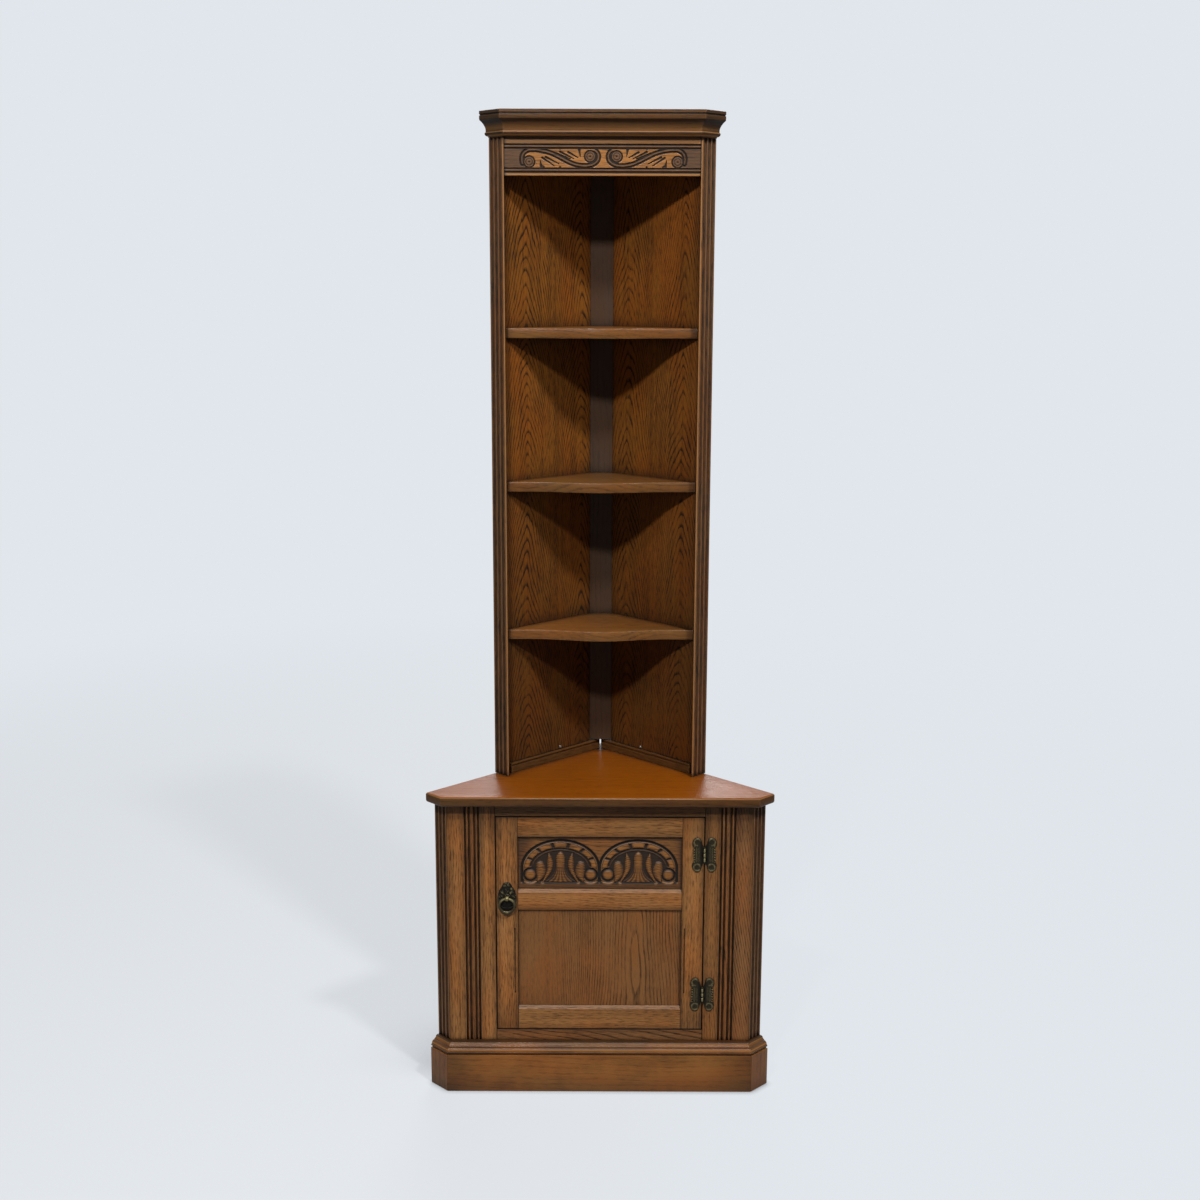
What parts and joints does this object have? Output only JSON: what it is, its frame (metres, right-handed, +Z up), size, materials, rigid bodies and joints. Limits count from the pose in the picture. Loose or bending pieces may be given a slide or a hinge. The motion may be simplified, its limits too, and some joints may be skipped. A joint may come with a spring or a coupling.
{
  "type": "corner cupboard",
  "caption": "Two-part oak corner cupboard: lower cabinet with a framed, hinged door and ring pull, and a narrower open shelved top with a cornice.",
  "frame": {"origin": "on the floor, at the middle of the bounding box of the footprint", "axes": "+Z up, +Y from the front towards the corner of the room, +X to the viewer's right"},
  "size_m": [0.66, 0.364, 1.843],
  "materials": {
    "oak": "stained oak, satin lacquer",
    "oak_glossy": "stained oak, polished",
    "oak_panel": "stained oak, cathedral grain, satin",
    "oak_dark": "dark stained oak, satin",
    "antique_brass": "darkened cast brass",
    "brass": "worn brass",
    "steel": "plain steel",
    "dark_plastic": "dark brown moulded plastic"
  },
  "bodies": {
    "cabinet": {"plinth_front": "oak", "plinth_left": "oak", "plinth_right": "oak", "plinth_moulding_front": "oak", "plinth_moulding_left": "oak", "plinth_moulding_right": "oak", "plinth_back_left": "oak_dark", "plinth_back_right": "oak_dark", "lower_pilaster_left": "oak_dark", "lower_pilaster_right": "oak_dark", "outer_stile_left": "oak", "outer_stile_right": "oak", "reeded_strip_left": "oak_dark", "reeded_strip_right": "oak_dark", "frame_stile_left": "oak", "frame_stile_right": "oak", "frame_top_rail": "oak", "frame_bottom_rail": "oak", "lower_back_panel_left": "oak_panel", "lower_back_panel_right": "oak_panel", "lower_corner_post": "oak_dark", "cupboard_floor": "oak_panel", "cupboard_shelf": "oak_panel", "top_board": "oak_glossy", "hinge_upper_frame_leaf": "antique_brass", "hinge_lower_frame_leaf": "antique_brass", "hinge_upper_pin": "brass", "hinge_lower_pin": "brass", "catch_body": "dark_plastic", "upper_post_left": "oak_dark", "upper_post_right": "oak_dark", "upper_back_panel_left": "oak_panel", "upper_back_panel_right": "oak_panel", "upper_corner_post": "oak_dark", "upper_top": "oak_panel", "base_rail_left": "oak", "base_rail_right": "oak", "frieze_rail": "oak", "cornice_front": "oak", "cornice_left": "oak", "cornice_right": "oak", "shelf_lower": "oak", "shelf_middle": "oak", "shelf_upper": "oak", "panel_screw_left": "steel", "panel_screw_right": "steel"},
    "door": {"door_hinge_stile": "oak", "door_lock_stile": "oak", "door_top_rail": "oak", "door_mid_rail": "oak", "door_bottom_rail": "oak", "door_carved_panel": "oak_panel", "door_lower_panel": "oak_panel", "hinge_upper_door_leaf": "antique_brass", "hinge_lower_door_leaf": "antique_brass", "pull_backplate": "antique_brass", "pull_post": "brass", "pull_nut": "brass", "catch_strike": "steel"},
    "ring": {"pull_ring": "antique_brass"}
  },
  "joints": [
    {"name": "door_hinge", "type": "hinge", "parent": "cabinet", "child": "door", "pos_m": [0.19845, -0.1603, 0.335], "axis": [0, 0, 1], "range_deg": [0, 120]},
    {"name": "ring_hinge", "type": "hinge", "parent": "door", "child": "ring", "pos_m": [-0.1772, -0.1645, 0.3895], "axis": [-1, 0, 0], "range_deg": [0, 120]}
  ]
}
